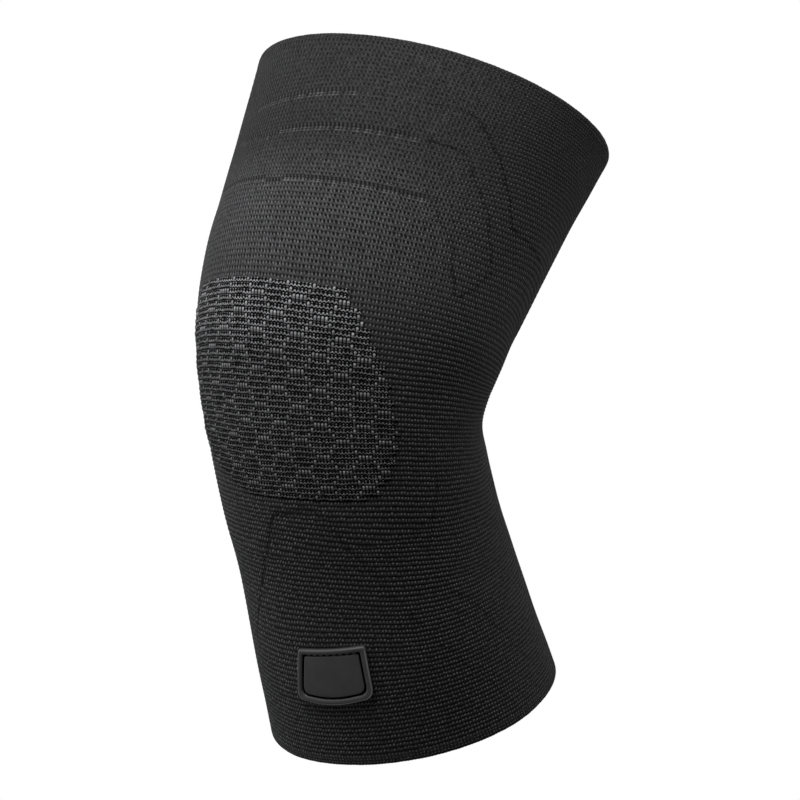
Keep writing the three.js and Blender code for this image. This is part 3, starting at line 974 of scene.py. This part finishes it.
def panel_material():
    material, g, shader = new_material("panel_knit")
    u, v = g.uv()
    height, across = g.part(v), g.part(u)
    fleck, sideways, upward = g.randoms(g.point(g.whole(u), g.whole(v)))
    tall = g.attribute("tall")
    fibre = g.noise(g.object_space(), FIBRE_SCALE)
    moved = g.plus(across, g.spread(sideways, SMALL_SHIFT_ACROSS))
    raised = g.plus(height, g.spread(upward, SMALL_SHIFT_UP))
    head = g.times(g.spot(moved, raised, SMALL_HEAD), g.span(fleck, *SMALL_HEAD_TONE))
    stem = g.spot(moved, raised, SMALL_STEM)
    sagging = g.scaled(g.math("ABSOLUTE", g.minus(across, 0.5)), THREAD_SAG, raised)
    thread = g.times(g.near(sagging, *SMALL_THREAD), SMALL_THREAD_TONE)
    small = g.math("MAXIMUM", g.scaled(stem, g.span(sideways, *SMALL_STEM_TONE), thread), head)
    crown = g.span(g.near(height, *TALL_CROWN), *TALL_TONE)
    bar = g.times(g.spot(across, height, TALL_BAR), crown)
    shown = g.blend(g.ramp(tall, *TALL_FROM), small, bar)
    shown = g.times(shown, g.span(upward, *STITCH_TONE))
    shown = g.times(shown, g.span(fibre, *PANEL_FIBRE))
    # The panel's tone carries painted light towards the top and painted shade towards the outer side
    shown = g.times(shown, g.attribute("tone"), clamp=True)
    relief = g.scaled(fibre, FIBRE_BUMP, g.math("MAXIMUM", small, g.times(bar, tall)))
    fill(shader, PANEL_CLOTH)
    g.link(g.mix(shown, grey(PANEL_DARK), grey(PANEL_LIGHT)), shader.inputs["Base Color"])
    g.link(g.bump(relief, CLOTH_BUMP), shader.inputs["Normal"])
    return material


# Moulded badge, as in the part's source but with its edges and lower corners rounded
BADGE_STATION = -0.6875
BADGE_ANGLE = 3.8
BADGE_LEAN_DEG = 9
BADGE_TOP_WIDTH = 27.8
BADGE_BOTTOM_WIDTH = 32.6
BADGE_HEIGHT = 22.7
BADGE_BOTTOM_BULGE = 1.2
BADGE_TOP_CORNER = 1.2
BADGE_BOTTOM_CORNER = 5.0
BADGE_FOOT = 0.12
BADGE_SIDE_POINTS = 48
BADGE_CORNER_POINTS = 10

# Section of the badge from its edge inward: distance from the edge and height above the tube
BADGE_SECTION = [
    (0.0, 0.12), (0.0, 1.25), (0.08, 1.65), (0.3, 1.95), (0.6, 2.08), (1.0, 2.1), (1.5, 2.06),
    (1.85, 1.92), (2.08, 1.6), (2.15, 1.1), (2.25, 0.76), (2.5, 0.7), (2.75, 0.76), (2.85, 1.0),
    (2.92, 1.35), (3.1, 1.5), (3.4, 1.54), (4.2, 1.55), (5.5, 1.56), (7.0, 1.57), (9.0, 1.58),
]
GROOVE_FROM = 2.12
GROOVE_TO = 2.88
GROOVE_STITCHES = 8
STITCH_PITCH = 2.7
STITCH_SIZE = (0.85, 0.26, 0.24)
STITCH_HEIGHT = 0.98
STITCH_RINGS = 6
STITCH_SIDES = 8
STITCH_FIRST_TURN = 0.06
# Painted highlight along the rim's edge, most along the foot of the badge: shares of the half height and
# strength of the highlight
RIM_INSET = 0.5
RIM_HEIGHT = 1.5
RIM_PLACES = [-0.9, -0.7, 0.8, 0.95]
RIM_HIGHLIGHT_SHARE = [1, 0.5, 0.5, 0.1]
FOOT_INSET_SHARE = 0.5


def curve_points(start, control, end, count):
    t = np.arange(count)[:, None] / count
    return start * (1 - t) ** 2 + control * 2 * t * (1 - t) + end * t**2


def badge_outline():
    """Outline laid flat, anticlockwise from the lower left, as in the part's source."""
    half, top, bottom = BADGE_HEIGHT / 2, BADGE_TOP_WIDTH / 2, BADGE_BOTTOM_WIDTH / 2
    low, high = BADGE_BOTTOM_CORNER, BADGE_TOP_CORNER
    slope = (bottom - top) / BADGE_HEIGHT
    corners = np.array(
        [
            (-bottom + low, -half), (0, -half - 2 * BADGE_BOTTOM_BULGE), (bottom - low, -half),
            (bottom, -half), (bottom - slope * low, -half + low),
            ((bottom + top) / 2, 0), (top + slope * high, half - high),
            (top, half), (top - high, half),
            (0, half), (-top + high, half),
            (-top, half), (-top - slope * high, half - high),
            (-(bottom + top) / 2, 0), (-bottom + slope * low, -half + low),
            (-bottom, -half), (-bottom + low, -half),
        ]
    )
    parts = []
    for first in range(0, len(corners) - 1, 2):
        count = BADGE_SIDE_POINTS if first % 4 == 0 else BADGE_CORNER_POINTS
        parts.append(curve_points(corners[first], corners[first + 1], corners[first + 2], count))
    return np.concatenate(parts)


def badge_place(x, y, height):
    """Point of the badge, given on its flat outline and above the tube."""
    station = BADGE_STATION + y / SHIN_LENGTH
    seat = radius_at(np.array(BADGE_STATION), np.array(BADGE_ANGLE))
    angle = BADGE_ANGLE + np.degrees((x + y * math.tan(math.radians(BADGE_LEAN_DEG))) / seat)
    return surface_point(station, angle, height)


def make_badge():
    outline = badge_outline()
    size = len(outline)
    half_width, half_height = (BADGE_TOP_WIDTH + BADGE_BOTTOM_WIDTH) / 4, BADGE_HEIGHT / 2
    middle = badge_place(0.0, 0.0, np.array(BADGE_SECTION[-1][1]))
    under = badge_place(0.0, 0.0, np.array(BADGE_FOOT))
    rings, grooves, rim_highlights = [], [], []
    for inset, height in [(half_height * FOOT_INSET_SHARE, BADGE_FOOT), *BADGE_SECTION]:
        x = outline[:, 0] * (1 - inset / half_width)
        y = outline[:, 1] * (1 - inset / half_height)
        rings.append(badge_place(x, y, np.full(size, height)))
        # Marks the groove, which is painted near black as shade
        grooves.append(np.full(size, float(GROOVE_FROM < inset < GROOVE_TO)))
        # Painted highlight on the outer edge of the rim
        highlighted = float(inset < RIM_INSET and height > RIM_HEIGHT)
        rim_highlights.append(highlighted * np.interp(outline[:, 1] / half_height, RIM_PLACES, RIM_HIGHLIGHT_SHARE))
    points = np.concatenate([under[None], *rings, middle[None]])
    spot = np.arange(size)
    after = (spot + 1) % size
    faces = [(0, 1 + late, 1 + early) for early, late in zip(spot, after)]
    for ring in range(len(rings) - 1):
        low = 1 + ring * size
        faces += list(zip(low + spot, low + after, low + size + after, low + size + spot))
    last = 1 + (len(rings) - 1) * size
    faces += [(last + early, last + late, len(points) - 1) for early, late in zip(spot, after)]
    mesh = bpy.data.meshes.new("moulded_badge")
    mesh.from_pydata((points * MM).tolist(), [], [tuple(map(int, face)) for face in faces])
    for key, values in (("groove", grooves), ("rim", rim_highlights)):
        values = np.concatenate([[0.0], *values, [0.0]]).astype(np.float32)
        mesh.attributes.new(key, "FLOAT", "POINT").data.foreach_set("value", values)
    return link_piece("moulded_badge", mesh)


def make_stitches():
    """Short thread stitches along the upper groove of the badge."""
    turn = np.linspace(STITCH_FIRST_TURN, 1 - STITCH_FIRST_TURN, STITCH_RINGS)[:, None] * math.pi
    round_it = np.arange(STITCH_SIDES)[None, :] * 2 * math.pi / STITCH_SIDES
    row = BADGE_HEIGHT / 2 - (GROOVE_FROM + GROOVE_TO) / 2
    long, wide, high = STITCH_SIZE
    points, faces = [], []
    for count in range(GROOVE_STITCHES):
        middle = (count - (GROOVE_STITCHES - 1) / 2) * STITCH_PITCH
        x = middle + long * np.cos(turn)
        y = row + wide * np.sin(turn) * np.cos(round_it)
        height = STITCH_HEIGHT + high * np.sin(turn) * np.sin(round_it)
        first = len(points) * STITCH_RINGS * STITCH_SIDES + 2 * len(points)
        ends = badge_place(middle + long * np.array([1.0, -1.0]), row, STITCH_HEIGHT)
        points.append(np.concatenate([badge_place(x, y, height).reshape(-1, 3), ends]))
        for ring in range(STITCH_RINGS - 1):
            for side in range(STITCH_SIDES):
                a = first + ring * STITCH_SIDES + side
                b = first + ring * STITCH_SIDES + (side + 1) % STITCH_SIDES
                faces += [(a, b, b + STITCH_SIDES), (a, b + STITCH_SIDES, a + STITCH_SIDES)]
        near_end = first + STITCH_RINGS * STITCH_SIDES
        far_ring = near_end - STITCH_SIDES
        for side in range(STITCH_SIDES):
            after = (side + 1) % STITCH_SIDES
            faces.append((near_end, first + after, first + side))
            faces.append((near_end + 1, far_ring + side, far_ring + after))
    uvs = np.full((len(faces) * 3, 2), 0.5)
    points = np.concatenate(points)
    return make_mesh("badge_stitches", points, faces, uvs, {"dense": np.ones(len(points))})


GRAIN_SCALE = 2600.0
GRAIN_DETAIL = 3.0
GRAIN_SHARE = 0.3
GRAIN_BUMP = 0.00008
GRAIN_BUMP_STRENGTH = 0.7
MOTTLE_SCALE = 150.0
MOTTLE_SHARE = 0.6
BADGE_DARK = 0.08
BADGE_LIGHT = 0.14
# Painted highlight on the rim's edge
RIM_HIGHLIGHT_GREY = 0.8
# Painted shade in the groove
GROOVE_PAINTED_SHADE = 0.0015
BADGE_SPECULAR = 0.4
BADGE_ROUGHNESS = (0.25, 0.4)


def badge_material():
    material, g, shader = new_material("badge_rubber")
    place = g.object_space()
    grain = g.noise(place, GRAIN_SCALE, GRAIN_DETAIL)
    mottle = g.noise(place, MOTTLE_SCALE)
    shade = g.scaled(mottle, MOTTLE_SHARE, g.times(grain, GRAIN_SHARE), clamp=True)
    groove = g.attribute("groove")
    plain = g.mix(shade, grey(BADGE_DARK), grey(BADGE_LIGHT))
    # Painted highlight along the rim's edge
    highlighted = g.mix(g.attribute("rim"), plain, grey(RIM_HIGHLIGHT_GREY))
    # Painted shade: the groove is drawn near black
    g.link(g.mix(groove, highlighted, grey(GROOVE_PAINTED_SHADE)), shader.inputs["Base Color"])
    g.link(g.times(g.rest(groove), BADGE_SPECULAR), shader.inputs["Specular IOR Level"])
    g.link(g.span(grain, *BADGE_ROUGHNESS), shader.inputs["Roughness"])
    g.link(g.bump(grain, GRAIN_BUMP, GRAIN_BUMP_STRENGTH), shader.inputs["Normal"])
    return material


def dress(piece, material, node):
    piece.data.materials.append(material)
    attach(piece, "root")
    if node:
        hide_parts(node)


dress(make_sleeve(), knit_material(), "sleeve_body")
edge_knit = knit_material("welt_knit", lines=False)
dress(make_welt("upper_turned_edge", 1), edge_knit, "top_welt")
dress(make_welt("lower_turned_edge", -1), edge_knit, "bottom_welt")
dress(make_panel(), panel_material(), "knee_panel")
dress(make_badge(), badge_material(), "badge")
dress(make_stitches(), edge_knit, None)

# Camera at the photo's viewing angle
CAMERA_AZIMUTH = 28.5
CAMERA_ELEVATION = -1.2
CAMERA_DISTANCE = 1.1
CAMERA_RIGHT = 0.0207
CAMERA_UP = -0.0023
CAMERA_LENS = 127.7
CAMERA_SENSOR = 36.0
CAMERA_NEAR = 0.05
CAMERA_FAR = 50.0

azimuth, elevation = math.radians(CAMERA_AZIMUTH), math.radians(CAMERA_ELEVATION)
back = Vector(
    (math.sin(azimuth) * math.cos(elevation), -math.cos(azimuth) * math.cos(elevation), math.sin(elevation))
)
right = Vector((math.cos(azimuth), math.sin(azimuth), 0))
up = back.cross(right)
camera_data = bpy.data.cameras.new("camera")
camera_data.lens = CAMERA_LENS
camera_data.sensor_width = CAMERA_SENSOR
camera_data.clip_start = CAMERA_NEAR
camera_data.clip_end = CAMERA_FAR
camera = bpy.data.objects.new("camera", camera_data)
camera.matrix_world = Matrix((right, up, back)).transposed().to_4x4()
camera.location = right * CAMERA_RIGHT + up * CAMERA_UP + back * CAMERA_DISTANCE
bpy.context.collection.objects.link(camera)
bpy.context.scene.camera = camera

# Soft lamps, all turned to the part: place to the right, up and towards the camera, size and watts
LAMPS = {
    "key": ((-0.2, 0.38, 0.36), (0.22, 0.22), 1.5),
    "top_right": ((0.5, 0.9, 0.2), (0.4, 0.4), 2.2),
    "left_side": ((-0.9, 0.3, 0.4), (0.3, 0.8), 0.7),
    "left_rim": ((-0.9, 0.0, -0.3), (0.25, 1.0), 1.1),
    "right_rim": ((0.9, -0.25, -0.4), (0.25, 1.0), 0.45),
    "behind": ((0.2, 0.4, -1.2), (0.9, 0.9), 1.6),
}
WORLD_STRENGTH = 0.095
WHITE = (1, 1, 1, 1)

for name, (place, size, watts) in LAMPS.items():
    data = bpy.data.lights.new(name, "AREA")
    data.shape = "RECTANGLE"
    data.size, data.size_y = size
    data.energy = watts
    lamp = bpy.data.objects.new(name, data)
    lamp.location = right * place[0] + up * place[1] + back * place[2]
    lamp.rotation_mode = "QUATERNION"
    lamp.rotation_quaternion = lamp.location.to_track_quat("Z", "Y")
    bpy.context.collection.objects.link(lamp)

# A white backdrop for the camera, and a weak even light for all else
world = bpy.data.worlds.new("studio")
bpy.context.scene.world = world
world.use_nodes = True
world.node_tree.nodes.clear()
sky = Graph(world.node_tree)
seen = sky.node("Background", (WHITE, 1.0)).outputs[0]
lit = sky.node("Background", (WHITE, WORLD_STRENGTH)).outputs[0]
camera_ray = sky.node("LightPath").outputs["Is Camera Ray"]
shown = sky.node("MixShader", (camera_ray, lit, seen)).outputs[0]
sky.node("OutputWorld", (shown,), ("Surface",))

# Plain pale floor, well below the part, which a leg would hold up
FLOOR_HEIGHT = -0.45
FLOOR_RADIUS = 1.6
FLOOR_CORNERS = 96
FLOOR_LOOK = {
    "Base Color": (0.92, 0.92, 0.92, 1),
    "Roughness": 0.8,
    "Emission Color": WHITE,
    "Emission Strength": 0.8,
}

bpy.ops.mesh.primitive_circle_add(
    vertices=FLOOR_CORNERS, radius=FLOOR_RADIUS, fill_type="NGON", location=(0, 0, FLOOR_HEIGHT)
)
floor = bpy.context.object
floor.name = "floor"
material, _, shader = new_material("pale_floor")
fill(shader, FLOOR_LOOK)
# It gives the part no light, so that the part looks the same with and without it
floor.visible_diffuse = False
floor.visible_glossy = False
floor.data.materials.append(material)

bpy.context.scene.view_settings.view_transform = "Standard"
